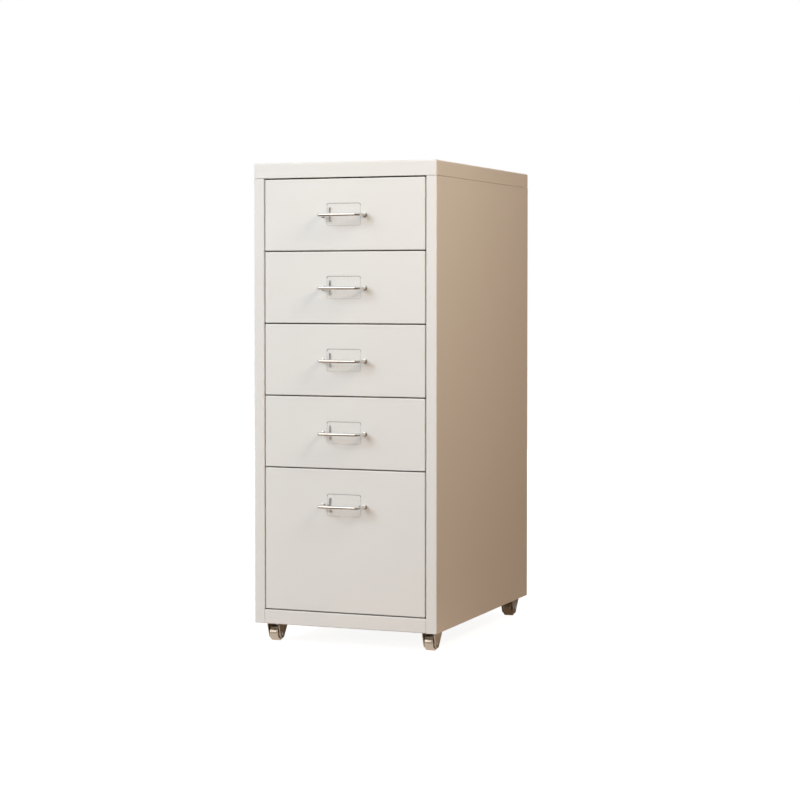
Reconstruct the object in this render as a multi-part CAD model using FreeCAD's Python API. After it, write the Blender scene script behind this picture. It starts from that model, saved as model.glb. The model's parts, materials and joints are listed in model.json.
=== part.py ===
import FreeCAD, Part
import math
import os

# A steel drawer cabinet on four swivel casters: four shallow drawers over one deep one.
# Millimetres. +Z is up, the drawer fronts face -Y, and X runs across the cabinet.
# The origin is on the floor, in the middle of the whole object's box.

# Driving sizes of the carcass
width = 280.0
body_depth = 410.0
height = 690.0
floor_gap = 29.0
skin = 0.8
cap_height = 21.5
cap_seam = 0.5
stile_width = 16.0
return_depth = 12.0
fascia_height = 20.4
base_underside = 33.0
rear_flange_width = 16.0
front_bend = 1.5
rear_bend = 3.0
cap_rear_round = 8.0
cap_edge_round = 2.0
cap_rear_corner = 4.0
cap_lip_play = 0.6
tongue_lap = 14.0
tongue_bend = 1.0
flange_front_setback = 14.0
flange_rear_setback = 8.0
cap_flange_top = 682.8
cap_flange_width = 15.0
base_flange_width = 10.0
base_edge_height = 14.0
base_corner_notch = 6.0
base_stile_play = 1.0
back_panel_inset = 3.0
panel_play = 0.4

# Driving sizes of the drawers
front_gap = 1.6
small_front_height = 101.4
large_front_height = 203.4
small_drawers = 4
front_return = 16.0
front_edge_round = 1.3
tray_sheet = 0.7
tray_half_width = 121.4
tray_length = 380.0
small_wall = 72.0
large_wall = 161.0
tray_lift = 4.3
tray_bend = 2.0
hem_height = 6.0
hem_thickness = 0.8
drawer_travel = 270.0

# Driving sizes of the runners, measured from the lower edge of each drawer's front
runner_sheet = 1.0
ledge_top = 4.0
ledge_reach = 25.0
ledge_lip = 4.0
channel_height = 14.0
channel_roof = 12.0
runner_start = 18.0
runner_end = 400.0
runner_bend = 0.6
tab_inset = 1.0
glide_length = 22.0
glide_height = 10.7
glide_width = 14.6
glide_round = 1.5
glide_peg = 4.0
glide_from_tray_end = 3.0
stop_height = 8.0
stop_width = 6.0
stop_sheet = 1.2
stop_play = 0.5

# Driving sizes of the pulls and label holders
pull_drop = 51.7
pull_centres = 64.0
pull_wire = 5.0
pull_reach = 22.5
pull_bend = 6.0
collar_diameter = 7.6
collar_height = 1.4
collar_round = 0.5
pull_screw = 3.0
pull_screw_head = 6.0
pull_screw_head_height = 2.0
pull_screw_head_round = 1.0
pull_screw_length = 8.5
pull_bore_depth = 9.0
label_width = 52.0
label_height = 32.0
label_thickness = 1.6
label_corner = 3.0
label_margin = 3.0
label_rise = 1.0
pocket_from_edge = 5.0
pocket_depth = 0.6
slot_from_edge = 5.0
slot_width = 1.5
slot_height = 20.0
slot_hook_height = 4.0
slot_hook_reach = 2.2
slot_bend = 2.0
peg_diameter = 3.0
peg_length = 3.0
peg_from_edge = 2.2
peg_play = 0.3

# Driving sizes of the casters
caster_x = 120.0
caster_front_setback = 35.5
caster_rear_setback = 28.0
wheel_diameter = 23.0
wheel_width = 13.0
wheel_trail = 3.0
wheel_shoulder = 1.0
wheel_rim = 2.6
wheel_recess = 1.2
hub_radius = 4.4
hub_stand = 0.7
axle_diameter = 4.0
axle_play = 0.1
axle_seat_play = 0.02
axle_head = 1.0
axle_head_lap = 1.2
axle_head_round = 0.6
fork_width = 19.0
fork_sheet = 1.2
fork_roof_underside = 25.6
fork_front = 15.5
fork_rear = 15.0
fork_boss = 8.0
fork_bend = 1.5
fork_shoulder = 22.6
crown_diameter = 31.0
crown_sheet = 0.8
crown_round = 1.0
crown_top = 29.8
stem_diameter = 8.0
stem_play = 0.1
stem_top = 46.0
stem_collar = 16.0
stem_head = 11.0
stem_head_height = 1.2
swivel_play = 0.1
nut_across_flats = 13.0
nut_height = 6.5

# Driving sizes of the screws that hold the carcass together
panel_screw = 4.0
panel_screw_head = 8.0
panel_screw_head_height = 1.2
panel_screw_head_round = 0.8
panel_screw_length = 5.5
boss_diameter = 8.0
screw_row_inset = 50.0
back_screw_rows = 4
back_screw_end = 30.0
back_screw_from_edge = 5.0

# How far a cutter runs past the face that it cuts, how far joined solids overlap,
# and how close two numbers are when they mean the same place
past = 1.0
overlap = 0.5
near_zero = 1e-6

# Places worked out from the driving sizes
front_reach = pull_reach + pull_wire / 2
overall_depth = front_reach + body_depth + panel_screw_head_height
front_y = -overall_depth / 2 + front_reach
back_y = front_y + body_depth
side_x = width / 2
inner_x = side_x - skin
opening_x = side_x - stile_width
front_half_width = opening_x - front_gap
cap_bottom = height - cap_height
panel_top = cap_bottom - cap_seam
fascia_top = floor_gap + fascia_height
first_front_top = panel_top - front_gap
flange_inner_y = back_y - skin
tray_front_y = front_y + skin
wheel_radius = wheel_diameter / 2
axle_radius = axle_diameter / 2
pull_x = pull_centres / 2
peg_x = label_width / 2 - peg_from_edge
boss_x = inner_x - skin - cap_flange_width / 2
base_screw_x = inner_x - base_flange_width / 2 - panel_play
back_screw_x = side_x - rear_flange_width + back_screw_from_edge
glide_rear_y = tray_front_y + tray_length - glide_from_tray_end
glide_front_y = glide_rear_y - glide_length
glide_middle_y = (glide_front_y + glide_rear_y) / 2
front_stop_y = glide_front_y - drawer_travel - stop_play - stop_sheet
rear_stop_y = glide_rear_y + stop_play


def drawer_rows():
    """Each drawer as (number, height of its lower edge, height of its front, height of its walls)."""
    rows = []
    top = first_front_top
    for number in range(1, small_drawers + 1):
        rows.append((number, top - small_front_height, small_front_height, small_wall))
        top -= small_front_height + front_gap
    rows.append((small_drawers + 1, top - large_front_height, large_front_height, large_wall))
    return rows


# General helpers
def vector(x, y, z):
    return FreeCAD.Vector(x, y, z)


def block(x, y, z):
    """A box from its (low, high) pairs."""
    size = [high - low for low, high in (x, y, z)]
    return Part.makeBox(*size, vector(x[0], y[0], z[0]))


def rod(radius, start, axis, length):
    return Part.makeCylinder(radius, length, vector(*start), vector(*axis))


def join(shapes):
    first, rest = shapes[0], shapes[1:]
    return (first.fuse(rest) if rest else first).removeSplitter()


def mirror_x(shape):
    return shape.mirror(vector(0, 0, 0), vector(1, 0, 0))


def both_sides(shape):
    return [shape, mirror_x(shape)]


def same(a, b):
    return abs(a - b) < near_zero


def export(name, solids):
    """Writes one node. A node with several solids holds like pieces, such as its screws."""
    group = []
    for piece in solids if isinstance(solids, list) else [solids]:
        group += piece.Solids
    for solid in group:
        if not solid.isValid() or solid.Volume <= 0:
            raise RuntimeError(f"{name} has a solid that isn't sound")
    shape = group[0] if len(group) == 1 else Part.Compound(group)
    shape.exportStep(f"parts/{name}.step")
    bounds = shape.BoundBox
    print(f"{name}: {len(group)} solid(s), {shape.Volume / 1000:.2f} cm3,"
          f" x {bounds.XMin:.1f}..{bounds.XMax:.1f}, y {bounds.YMin:.1f}..{bounds.YMax:.1f},"
          f" z {bounds.ZMin:.1f}..{bounds.ZMax:.1f}")


def corner_rounds(shape, radius, wanted):
    """Rounds the edges whose midpoint and direction pass the test."""
    edges = []
    for edge in shape.Edges:
        middle = edge.valueAt((edge.FirstParameter + edge.LastParameter) / 2)
        along = edge.tangentAt(edge.FirstParameter)
        if wanted(middle, along):
            edges.append(edge)
    return shape.makeFillet(radius, edges)


def screw(seat, axis, thread, length, head, head_height, head_round):
    """A screw whose head bears on the seat and whose shank points along the axis."""
    way = vector(*axis)
    end = vector(*seat) - way * head_height
    cap = Part.makeCylinder(head / 2, head_height, end, way)
    cap = corner_rounds(cap, head_round, lambda middle, along: same((middle - end).dot(way), 0))
    shank = Part.makeCylinder(thread / 2, length + overlap, vector(*seat) - way * overlap, way)
    return join([cap, shank])


# A folded strip of sheet: its centre line has sharp corners, and each gets its bend
def strip_face(route, thickness, bends):
    points = [vector(u, v, 0) for u, v in route]
    runs = [(b - a).normalize() for a, b in zip(points, points[1:])]
    lefts = [vector(-run.y, run.x, 0) for run in runs]
    half = thickness / 2

    def side(sign):
        """The edges of one side, and its first and last points."""
        edges = []
        first = at = points[0] + lefts[0] * (sign * half)
        for i, bend in enumerate(bends):
            before, after = runs[i], runs[i + 1]
            turn = math.atan2(before.x * after.y - before.y * after.x, before.dot(after))
            mid_radius = bend + half
            cut = mid_radius * math.tan(abs(turn) / 2)
            way = 1 if turn > 0 else -1
            corner = points[i + 1]
            centre = corner - before * cut + lefts[i] * (way * mid_radius)
            radius = mid_radius - way * sign * half
            middle = centre + (corner - centre).normalize() * radius
            enter = corner - before * cut + lefts[i] * (sign * half)
            leave = corner + after * cut + lefts[i + 1] * (sign * half)
            edges.append(Part.LineSegment(at, enter).toShape())
            edges.append(Part.Arc(enter, middle, leave).toShape())
            at = leave
        last = points[-1] + lefts[-1] * (sign * half)
        edges.append(Part.LineSegment(at, last).toShape())
        return edges, first, last

    left, left_first, left_last = side(1)
    right, right_first, right_last = side(-1)
    ends = [Part.LineSegment(left_last, right_last).toShape(),
            Part.LineSegment(right_first, left_first).toShape()]
    return Part.Face(Part.Wire(Part.__sortEdges__(left + right + ends)))


def strip_in_plan(route, thickness, bends, low, high):
    """A strip folded along vertical lines."""
    face = strip_face(route, thickness, bends)
    face.translate(vector(0, 0, low))
    return face.extrude(vector(0, 0, high - low))


def strip_along_depth(route, thickness, bends, near, far):
    """A strip folded along lines that run front to back. Its route is in (x, z)."""
    face = strip_face(route, thickness, bends)
    face.rotate(vector(0, 0, 0), vector(1, 0, 0), 90)
    face.translate(vector(0, near, 0))
    return face.extrude(vector(0, far - near, 0))


def rounded_outline(u, v, radii):
    """A face in the XY plane: a rectangle whose corners, from low-low counterclockwise, have radii."""
    corners = [(u[0], v[0]), (u[1], v[0]), (u[1], v[1]), (u[0], v[1])]
    inward = [(1, 1), (-1, 1), (-1, -1), (1, -1)]
    arcs = []
    for i, ((x, y), (sx, sy), radius) in enumerate(zip(corners, inward, radii)):
        on_u = vector(x + sx * radius, y, 0)
        on_v = vector(x, y + sy * radius, 0)
        inset = radius * (1 - math.sqrt(0.5))
        middle = vector(x + sx * inset, y + sy * inset, 0)
        arcs.append((on_v, middle, on_u) if i % 2 == 0 else (on_u, middle, on_v))
    edges = []
    for (enter, middle, leave), (following, _, _) in zip(arcs, arcs[1:] + arcs[:1]):
        edges.append(Part.Arc(enter, middle, leave).toShape())
        edges.append(Part.LineSegment(leave, following).toShape())
    return Part.Face(Part.Wire(edges))


def pan(x, z, depth, edge_round):
    """A shallow pan, open at the back: a flat front with four returns, folded from one sheet."""
    def filled(inset, radius, near, far):
        solid = block((x[0] + inset, x[1] - inset), (near, far), (z[0] + inset, z[1] - inset))
        return corner_rounds(solid, radius, lambda middle, along: same(middle.y, near)
                             or same(abs(along.y), 1))

    outer = filled(0, edge_round, front_y, front_y + depth)
    inner = filled(skin, edge_round - skin, front_y + skin, front_y + depth + past)
    return outer.cut(inner)


# The carcass
def lid_body(inset):
    """The outer or inner shape of the cap, as the space that three rounded outlines share."""
    low = cap_bottom - (past if inset else 0)
    x = (-side_x + inset, side_x - inset)
    y = (front_y + inset, back_y - inset)
    z = (low - cap_height, height - inset)
    small, corner, rear = [r - inset for r in (cap_edge_round, cap_rear_corner, cap_rear_round)]
    plan = rounded_outline(x, y, [small, small, corner, corner])
    plan.translate(vector(0, 0, low))
    plan = plan.extrude(vector(0, 0, height))
    side = rounded_outline(y, z, [small, small, rear, small])
    side.rotate(vector(0, 0, 0), vector(1, 1, 1), 120)
    side.translate(vector(-width, 0, 0))
    side = side.extrude(vector(2 * width, 0, 0))
    face = rounded_outline(x, z, [small] * 4)
    face.rotate(vector(0, 0, 0), vector(1, 0, 0), 90)
    face.translate(vector(0, -body_depth, 0))
    face = face.extrude(vector(0, 2 * body_depth, 0))
    return plan.common(side).common(face)


def screw_rows():
    """Where the cap's bosses and the base screws stand, along the depth."""
    return [front_y + screw_row_inset, (front_y + back_y) / 2, back_y - screw_row_inset]


def cap_screw_places():
    return [(x, y) for y in screw_rows() for x in (-boss_x, boss_x)]


def base_screw_places():
    return [(x, y) for y in screw_rows() for x in (-base_screw_x, base_screw_x)]


def back_screw_places():
    low, high = floor_gap + back_screw_end, panel_top - back_screw_end
    step = (high - low) / (back_screw_rows - 1)
    return [(x, low + step * row) for row in range(back_screw_rows)
            for x in (-back_screw_x, back_screw_x)]


def top_cap():
    """The lid with its turned-down walls, a lip above the top drawer, and the screws' bosses."""
    lid = lid_body(0).cut(lid_body(skin))
    lip_x = opening_x - cap_lip_play
    lip = block((-lip_x, lip_x), (front_y + skin / 2, front_y + return_depth),
                (cap_bottom, cap_bottom + skin))
    boss_height = height - skin / 2 - cap_flange_top
    bosses = [rod(boss_diameter / 2, (x, y, cap_flange_top), (0, 0, 1), boss_height)
              for x, y in cap_screw_places()]
    cap = join([lid, lip] + bosses)
    for x, y in cap_screw_places():
        cap = cap.cut(rod(panel_screw / 2, (x, y, cap_flange_top - past), (0, 0, 1),
                          panel_screw_length + past))
    return cap


def side_panel():
    """The right-hand panel: skin, front stile with its return, rear flange, cap tongue, base flange."""
    mid = skin / 2
    route = [(opening_x + mid, front_y + return_depth), (opening_x + mid, front_y + mid),
             (side_x - mid, front_y + mid), (side_x - mid, back_y - mid),
             (side_x - rear_flange_width, back_y - mid)]
    bends = [front_bend - skin, front_bend - skin, rear_bend - skin]
    shell = strip_in_plan(route, skin, bends, floor_gap, panel_top)
    near, far = front_y + flange_front_setback, back_y - flange_rear_setback
    tongue_route = [(inner_x - mid, panel_top - tongue_lap), (inner_x - mid, cap_flange_top - mid),
                    (inner_x - skin - cap_flange_width, cap_flange_top - mid)]
    tongue = strip_along_depth(tongue_route, skin, [tongue_bend], near, far)
    base_flange = block((inner_x - base_flange_width, inner_x + mid), (near, far),
                        (base_underside - skin, base_underside))
    panel = join([shell, tongue, base_flange])
    holes = []
    for y in screw_rows():
        holes.append(((boss_x, y, cap_flange_top - skin - past), (0, 0, 1)))
        holes.append(((base_screw_x, y, base_underside - skin - past), (0, 0, 1)))
    for x, z in back_screw_places():
        holes.append(((x, back_y - skin - past, z), (0, 1, 0)))
    for start, axis in holes:
        panel = panel.cut(rod(panel_screw / 2, start, axis, skin + 2 * past))
    return panel


def back_panel():
    edge = inner_x - rear_bend - back_panel_inset
    panel = block((-edge, edge), (flange_inner_y - skin, flange_inner_y),
                  (floor_gap + panel_play, panel_top - panel_play))
    for x, z in back_screw_places():
        panel = panel.cut(rod(panel_screw / 2, (x, flange_inner_y - skin - past, z), (0, 1, 0),
                              skin + 2 * past))
    return panel


def caster_places():
    rows = (front_y + caster_front_setback, back_y - caster_rear_setback)
    return [(x, y) for y in rows for x in (-caster_x, caster_x)]


def weld_nut(x, y):
    """A hexagon nut that stands on the base panel, round a caster's stem."""
    corner = nut_across_flats / math.sqrt(3)
    turns = [k * math.pi / 3 for k in range(7)]
    ring = [vector(x + corner * math.cos(turn), y + corner * math.sin(turn), base_underside)
            for turn in turns]
    return Part.Face(Part.makePolygon(ring)).extrude(vector(0, 0, skin + nut_height))


def base_panel():
    """The floor of the carcass: a tray of sheet, its edges turned up, with four nuts welded on."""
    near, far = front_y + return_depth, flange_inner_y - skin
    floor = (base_underside, base_underside + skin)
    wall = (base_underside, base_underside + base_edge_height)
    front_x = opening_x - base_stile_play
    rear_x = inner_x - base_corner_notch
    side_y = (near + base_corner_notch, far - base_corner_notch)
    parts = [block((-inner_x, inner_x), side_y, floor),
             block((-front_x, front_x), (near, side_y[0] + overlap), floor),
             block((-rear_x, rear_x), (side_y[1] - overlap, far), floor),
             block((-front_x, front_x), (near, near + skin), wall),
             block((-rear_x, rear_x), (far - skin, far), wall)]
    parts += both_sides(block((inner_x - skin, inner_x), side_y, wall))
    parts += [weld_nut(x, y) for x, y in caster_places()]
    base = join(parts)
    for x, y in caster_places():
        base = base.cut(rod(stem_diameter / 2, (x, y, base_underside - past), (0, 0, 1),
                            skin + nut_height + 2 * past))
    for x, y in base_screw_places():
        base = base.cut(rod(panel_screw / 2, (x, y, base_underside - past), (0, 0, 1),
                            skin + 2 * past))
    return base


def panel_screws():
    """The like screws that hold the cap, the base and the back."""
    seats = [((x, y, cap_flange_top - skin), (0, 0, 1)) for x, y in cap_screw_places()]
    seats += [((x, y, base_underside - skin), (0, 0, 1)) for x, y in base_screw_places()]
    seats += [((x, back_y, z), (0, -1, 0)) for x, z in back_screw_places()]
    return [screw(seat, axis, panel_screw, panel_screw_length, panel_screw_head,
                  panel_screw_head_height, panel_screw_head_round) for seat, axis in seats]


def base_fascia():
    return pan((-opening_x, opening_x), (floor_gap, fascia_top), return_depth, front_edge_round)


def runner(lower_edge):
    """The right-hand runner of one drawer: a ledge with a lip, a web on the side panel, and a roof."""
    mid = runner_sheet / 2
    web = inner_x - mid
    ledge = lower_edge + ledge_top - mid
    roof = ledge + channel_height - runner_sheet
    tip = inner_x - ledge_reach + mid
    route = [(tip, ledge - ledge_lip), (tip, ledge), (web, ledge), (web, roof),
             (inner_x - channel_roof, roof)]
    rail = strip_along_depth(route, runner_sheet, [runner_bend] * 3,
                             front_y + runner_start, front_y + runner_end)
    tab_x = inner_x - channel_roof + tab_inset
    tab_top = lower_edge + ledge_top + stop_height
    tabs = [block((tab_x, tab_x + stop_width), (y, y + stop_sheet), (ledge, tab_top))
            for y in (front_stop_y, rear_stop_y)]
    return join([rail] + tabs)


# One drawer
def drawer_front(lower, tall):
    """The folded front, with holes for the pull's screws and the label holder's pegs."""
    front = pan((-front_half_width, front_half_width), (lower, lower + tall), front_return,
                front_edge_round)
    pull_z = lower + tall - pull_drop
    for x, diameter in ((pull_x, pull_screw), (peg_x, peg_diameter)):
        for place in (-x, x):
            front = front.cut(rod(diameter / 2, (place, front_y - past, pull_z), (0, 1, 0),
                                  skin + 2 * past))
    return front


def tray(lower, tall, wall):
    """The open box: floor and four walls, with a hem turned in along the top."""
    low = lower + tray_lift
    high = low + wall
    rear = tray_front_y + tray_length

    def filled(inset, radius, top):
        x = tray_half_width - inset
        solid = block((-x, x), (tray_front_y + inset, rear - inset), (low + inset, top))
        return corner_rounds(solid, radius, lambda middle, along: same(middle.z, low + inset)
                             or same(abs(along.z), 1))

    def hem_outline(inset, bottom, top):
        x = tray_half_width - inset
        return block((-x, x), (tray_front_y + inset, rear - inset), (bottom, top))

    box = filled(0, tray_bend, high).cut(filled(tray_sheet, tray_bend - tray_sheet, high + past))
    hem = hem_outline(tray_sheet, high - hem_height, high).common(filled(tray_sheet / 2, tray_bend, high))
    hem = hem.cut(hem_outline(tray_sheet + hem_thickness, high - hem_height - past, high + past))
    box = join([box, hem])
    pull_z = lower + tall - pull_drop
    for x, radius in ((pull_x, pull_screw / 2), (peg_x, peg_diameter / 2 + peg_play)):
        for place in (-x, x):
            box = box.cut(rod(radius, (place, tray_front_y - past, pull_z), (0, 1, 0),
                              tray_sheet + hem_thickness + 2 * past))
    peg = rod(glide_peg / 2, (tray_half_width - tray_sheet - past, glide_middle_y,
                              low + glide_height / 2), (1, 0, 0), tray_sheet + 2 * past)
    for hole in both_sides(peg):
        box = box.cut(hole)
    return box


def glide(lower):
    """The right-hand glide: a plastic block pegged to the tray, which runs in the runner's channel."""
    low = lower + tray_lift
    body = block((tray_half_width, tray_half_width + glide_width), (glide_front_y, glide_rear_y),
                 (low, low + glide_height))
    body = corner_rounds(body, glide_round, lambda middle, along: middle.x > tray_half_width + past)
    peg = rod(glide_peg / 2, (tray_half_width - tray_sheet, glide_middle_y, low + glide_height / 2),
              (1, 0, 0), tray_sheet + overlap)
    return join([body, peg])


def pull(pull_z):
    """The pull: one bent wire with a collar at each foot and a threaded bore in each end."""
    bar_y = front_y - pull_reach
    half = math.sqrt(0.5) * pull_bend

    def bend(side):
        centre = vector(side * (pull_x - pull_bend), bar_y + pull_bend, pull_z)
        return centre + vector(side * half, -half, 0)

    left_foot = vector(-pull_x, front_y, pull_z)
    left_up = vector(-pull_x, bar_y + pull_bend, pull_z)
    left_bar = vector(-pull_x + pull_bend, bar_y, pull_z)
    right_bar = vector(pull_x - pull_bend, bar_y, pull_z)
    right_up = vector(pull_x, bar_y + pull_bend, pull_z)
    right_foot = vector(pull_x, front_y, pull_z)
    path = Part.Wire([Part.LineSegment(left_foot, left_up).toShape(),
                      Part.Arc(left_up, bend(-1), left_bar).toShape(),
                      Part.LineSegment(left_bar, right_bar).toShape(),
                      Part.Arc(right_bar, bend(1), right_up).toShape(),
                      Part.LineSegment(right_up, right_foot).toShape()])
    section = Part.Wire(Part.makeCircle(pull_wire / 2, left_foot, vector(0, -1, 0)))
    parts = [path.makePipeShell([section], True, True)]
    for x in (-pull_x, pull_x):
        collar = rod(collar_diameter / 2, (x, front_y, pull_z), (0, -1, 0), collar_height)
        parts.append(corner_rounds(collar, collar_round, lambda middle, along:
                                   same(middle.y, front_y - collar_height)))
    shape = join(parts)
    for x in (-pull_x, pull_x):
        shape = shape.cut(rod(pull_screw / 2, (x, front_y + past, pull_z), (0, -1, 0),
                              pull_bore_depth + past))
    return shape


def pull_screws(pull_z):
    seat_y = tray_front_y + tray_sheet
    return [screw((x, seat_y, pull_z), (0, -1, 0), pull_screw, pull_screw_length, pull_screw_head,
                  pull_screw_head_height, pull_screw_head_round) for x in (-pull_x, pull_x)]


def label_holder(pull_z):
    """A clear plate with a shallow pocket behind it, a hooked slot that the card slides in by, and pegs."""
    half_w, half_h = label_width / 2, label_height / 2
    middle = pull_z + label_rise
    plate = rounded_outline((-half_w, half_w), (middle - half_h, middle + half_h), [label_corner] * 4)
    plate.rotate(vector(0, 0, 0), vector(1, 0, 0), 90)
    plate.translate(vector(0, front_y, 0))
    plate = plate.extrude(vector(0, -label_thickness, 0))
    slot_x = -half_w + slot_from_edge
    pocket_half = half_h - label_margin
    pocket = block((slot_x - slot_width / 2, half_w - pocket_from_edge),
                   (front_y - pocket_depth, front_y + past), (middle - pocket_half, middle + pocket_half))
    low = middle - slot_height / 2
    route = [(slot_x, low + slot_height), (slot_x, low + slot_hook_height), (slot_x + slot_hook_reach, low)]
    slot = strip_along_depth(route, slot_width, [slot_bend], front_y - label_thickness - past,
                             front_y + past)
    pegs = [rod(peg_diameter / 2, (x, front_y - label_thickness / 2, pull_z), (0, 1, 0), peg_length)
            for x in (-peg_x, peg_x)]
    return join([plate.cut(pocket).cut(slot)] + pegs)


# The casters
def tangent_angle(point, centre, radius, side):
    """Where the line from a point touches a circle, as an angle about the circle's centre."""
    du, dv = point[0] - centre[0], point[1] - centre[1]
    return math.atan2(dv, du) + side * math.acos(radius / math.hypot(du, dv))


def cheek_outline():
    """The fork seen from its side: a wide roof that narrows to a boss round the axle."""
    axle_y, axle_z = -wheel_trail, wheel_radius
    top = fork_roof_underside + 2 * fork_sheet
    enter = tangent_angle((-fork_front, fork_shoulder), (axle_y, axle_z), fork_boss, 1)
    leave = tangent_angle((fork_rear, fork_shoulder), (axle_y, axle_z), fork_boss, -1)

    def on_boss(angle):
        return vector(0, axle_y + fork_boss * math.cos(angle), axle_z + fork_boss * math.sin(angle))

    front = [vector(0, -fork_front, top), vector(0, -fork_front, fork_shoulder), on_boss(enter)]
    rear = [on_boss(leave), vector(0, fork_rear, fork_shoulder), vector(0, fork_rear, top)]
    edges = [Part.LineSegment(a, b).toShape() for a, b in zip(front, front[1:])]
    edges.append(Part.Arc(front[-1], on_boss(-math.pi / 2), rear[0]).toShape())
    edges += [Part.LineSegment(a, b).toShape() for a, b in zip(rear, rear[1:])]
    edges.append(Part.LineSegment(rear[-1], front[0]).toShape())
    return Part.Face(Part.Wire(edges))


def caster_fork(x, y):
    """The swivelling fork: one folded strip, narrowed to a boss round the axle, under a dished crown."""
    mid = fork_sheet / 2
    half = fork_width / 2 - mid
    roof = fork_roof_underside + mid
    route = [(-half, 0), (-half, roof), (half, roof), (half, 0)]
    strip = strip_along_depth(route, fork_sheet, [fork_bend, fork_bend], -fork_front, fork_rear)
    outline = cheek_outline()
    outline.translate(vector(-fork_width, 0, 0))
    fork = strip.common(outline.extrude(vector(2 * fork_width, 0, 0)))
    floor = fork_roof_underside + fork_sheet
    radius = crown_diameter / 2
    dish = rod(radius, (0, 0, floor), (0, 0, 1), crown_top - floor)
    dish = corner_rounds(dish, crown_round, lambda middle, along: same(middle.z, floor))
    well = rod(radius - fork_sheet, (0, 0, floor + crown_sheet), (0, 0, 1), crown_top - floor)
    fork = join([fork, dish.cut(well)])
    fork = fork.cut(rod(stem_diameter / 2 + stem_play, (0, 0, fork_roof_underside - past), (0, 0, 1),
                        crown_top - fork_roof_underside + 2 * past))
    fork = fork.cut(rod(axle_radius + axle_seat_play, (-fork_width, -wheel_trail, wheel_radius),
                        (1, 0, 0), 2 * fork_width))
    fork.translate(vector(x, y, 0))
    return fork


def caster_axle(x, y):
    """The axle: a rivet through both cheeks, headed at both ends."""
    reach = fork_width / 2
    parts = [rod(axle_radius, (-reach - overlap, 0, 0), (1, 0, 0), 2 * (reach + overlap))]
    for way in (-1, 1):
        head = rod(axle_radius + axle_head_lap, (way * reach, 0, 0), (way, 0, 0), axle_head)
        parts.append(corner_rounds(head, axle_head_round, lambda middle, along:
                                   same(abs(middle.x), reach + axle_head)))
    axle = join(parts)
    axle.translate(vector(x, y - wheel_trail, wheel_radius))
    return axle


def caster_wheel(x, y):
    """The wheel: a turned roller with rounded shoulders and a shallow recess in each face."""
    half = wheel_width / 2
    bore = axle_radius + axle_play
    rim = wheel_radius - wheel_rim
    side = [(bore, half + hub_stand), (hub_radius, half + hub_stand),
            (hub_radius, half - wheel_recess), (rim, half - wheel_recess), (rim, half),
            (wheel_radius, half)]
    outline = [vector(-u, 0, r) for r, u in side] + [vector(u, 0, r) for r, u in reversed(side)]
    edges = [Part.LineSegment(a, b).toShape() for a, b in zip(outline, outline[1:] + outline[:1])]
    wheel = Part.Face(Part.Wire(edges)).revolve(vector(0, 0, 0), vector(1, 0, 0), 360)
    wheel = corner_rounds(wheel, wheel_shoulder, lambda middle, along: same(abs(middle.x), half)
                          and same(math.hypot(middle.y, middle.z), wheel_radius))
    wheel.translate(vector(x, y - wheel_trail, wheel_radius))
    return wheel


def caster_stems():
    """The fixed part of each caster: a riveted stem with a collar that bears on the base."""
    stems = []
    crown_floor = fork_roof_underside + fork_sheet + crown_sheet
    for x, y in caster_places():
        head_low = fork_roof_underside - swivel_play - stem_head_height
        collar_low = crown_floor + swivel_play
        shank = rod(stem_diameter / 2, (x, y, head_low), (0, 0, 1), stem_top - head_low)
        head = rod(stem_head / 2, (x, y, head_low), (0, 0, 1), stem_head_height)
        collar = rod(stem_collar / 2, (x, y, collar_low), (0, 0, 1), base_underside - collar_low)
        stems.append(join([shank, head, collar]))
    return stems


os.makedirs("parts", exist_ok=True)

right_panel = side_panel()
export("right_side_panel", right_panel)
export("left_side_panel", mirror_x(right_panel))
export("top_cap", top_cap())
export("back_panel", back_panel())
export("base_panel", base_panel())
export("base_fascia", base_fascia())
export("panel_screws", panel_screws())

for number, lower, tall, wall in drawer_rows():
    pull_z = lower + tall - pull_drop
    name = f"drawer_{number}"
    right_runner = runner(lower)
    export(f"{name}_right_runner", right_runner)
    export(f"{name}_left_runner", mirror_x(right_runner))
    export(f"{name}_front", drawer_front(lower, tall))
    export(f"{name}_tray", tray(lower, tall, wall))
    export(f"{name}_glides", both_sides(glide(lower)))
    export(f"{name}_handle", pull(pull_z))
    export(f"{name}_handle_screws", pull_screws(pull_z))
    export(f"{name}_label_holder", label_holder(pull_z))

export("caster_stems", caster_stems())
caster_names = ["front_left", "front_right", "rear_left", "rear_right"]
for name, (x, y) in zip(caster_names, caster_places()):
    export(f"{name}_fork", caster_fork(x, y))
    export(f"{name}_axle", caster_axle(x, y))
    export(f"{name}_wheel", caster_wheel(x, y))
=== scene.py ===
# %% [markdown]
# # A steel drawer cabinet on four casters
# The real cabinet is folded from steel sheet under a millimetre thick, powder-coated off-white, and
# screwed together. Its construction comes packed as a fixed frame, in metres: +Z is up, and the drawer
# fronts face -Y. This script gives that frame its looks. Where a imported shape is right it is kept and
# its edges are refined. Pulls, screws, wheels and rivets are turned or bent anew, with finer surfaces.

# %% The frame
import json
import math

import bmesh
import bpy
from mathutils import Matrix, Vector


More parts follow.
